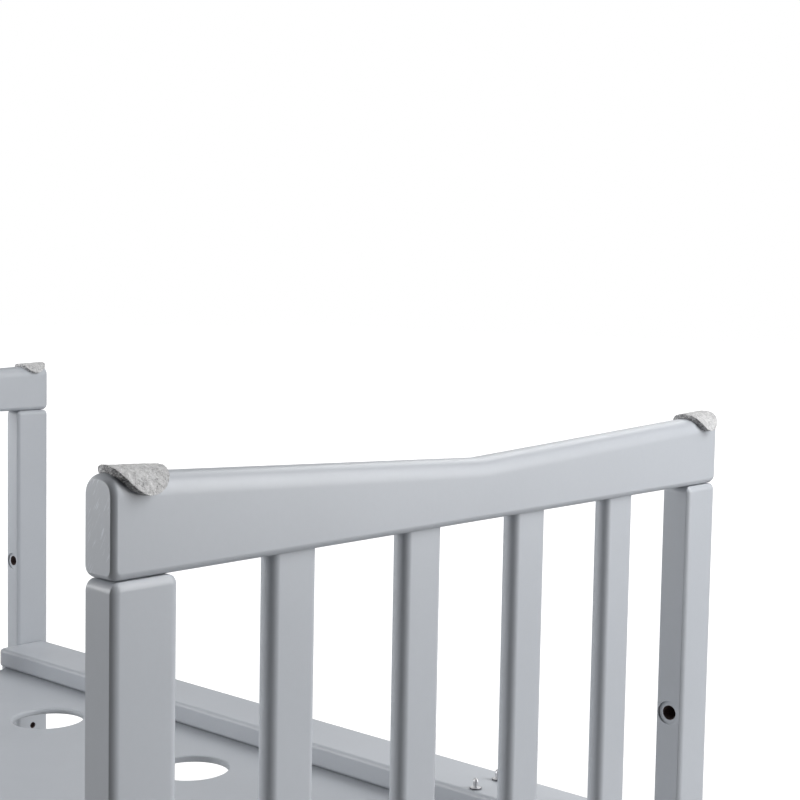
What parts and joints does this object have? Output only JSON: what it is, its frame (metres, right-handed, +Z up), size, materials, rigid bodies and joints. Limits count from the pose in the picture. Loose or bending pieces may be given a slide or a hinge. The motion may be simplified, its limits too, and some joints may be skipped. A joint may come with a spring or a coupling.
{
  "type": "convertible crib",
  "caption": "Small bedside crib frame: slatted ends with shallow V top rails and felt pads, two flat beams and a vented base board, with holes for a lower base height.",
  "frame": {"origin": "on the floor, at the middle of the crib's length and width", "axes": "+X along the crib's length towards the right end frame, +Y across it towards the rear, +Z up"},
  "size_m": [0.8626, 0.54, 0.7632],
  "materials": {
    "frame_lacquer": "solid wood under satin grey lacquer",
    "board_lacquer": "fibreboard under satin grey lacquer",
    "felt": "pressed wool felt, mottled grey",
    "steel": "bright zinc plated",
    "beech": "bare turned beech"
  },
  "bodies": {
    "root": {"base_board": "board_lacquer", "front_beam": "frame_lacquer", "rear_beam": "frame_lacquer", "front_beam_stud_1": "steel", "front_beam_stud_2": "steel", "front_beam_stud_3": "steel", "front_beam_stud_4": "steel", "rear_beam_stud_1": "steel", "rear_beam_stud_2": "steel", "rear_beam_stud_3": "steel", "rear_beam_stud_4": "steel", "front_board_screw_1": "steel", "front_board_screw_2": "steel", "front_board_screw_3": "steel", "front_board_screw_4": "steel", "rear_board_screw_1": "steel", "rear_board_screw_2": "steel", "rear_board_screw_3": "steel", "rear_board_screw_4": "steel", "right_front_bolt": "steel", "right_rear_bolt": "steel", "left_front_bolt": "steel", "left_rear_bolt": "steel", "right_front_barrel_nut": "steel", "right_rear_barrel_nut": "steel", "left_front_barrel_nut": "steel", "left_rear_barrel_nut": "steel", "right_front_post": "frame_lacquer", "right_rear_post": "frame_lacquer", "left_front_post": "frame_lacquer", "left_rear_post": "frame_lacquer", "right_top_rail": "frame_lacquer", "left_top_rail": "frame_lacquer", "right_lower_rail": "frame_lacquer", "left_lower_rail": "frame_lacquer", "right_slat_1": "frame_lacquer", "right_slat_2": "frame_lacquer", "right_slat_3": "frame_lacquer", "right_slat_4": "frame_lacquer", "left_slat_1": "frame_lacquer", "left_slat_2": "frame_lacquer", "left_slat_3": "frame_lacquer", "left_slat_4": "frame_lacquer", "right_front_felt_pad": "felt", "right_rear_felt_pad": "felt", "left_front_felt_pad": "felt", "left_rear_felt_pad": "felt", "right_front_dowel_1": "beech", "right_front_dowel_2": "beech", "right_rear_dowel_1": "beech", "right_rear_dowel_2": "beech", "left_front_dowel_1": "beech", "left_front_dowel_2": "beech", "left_rear_dowel_1": "beech", "left_rear_dowel_2": "beech"}
  },
  "joints": []
}
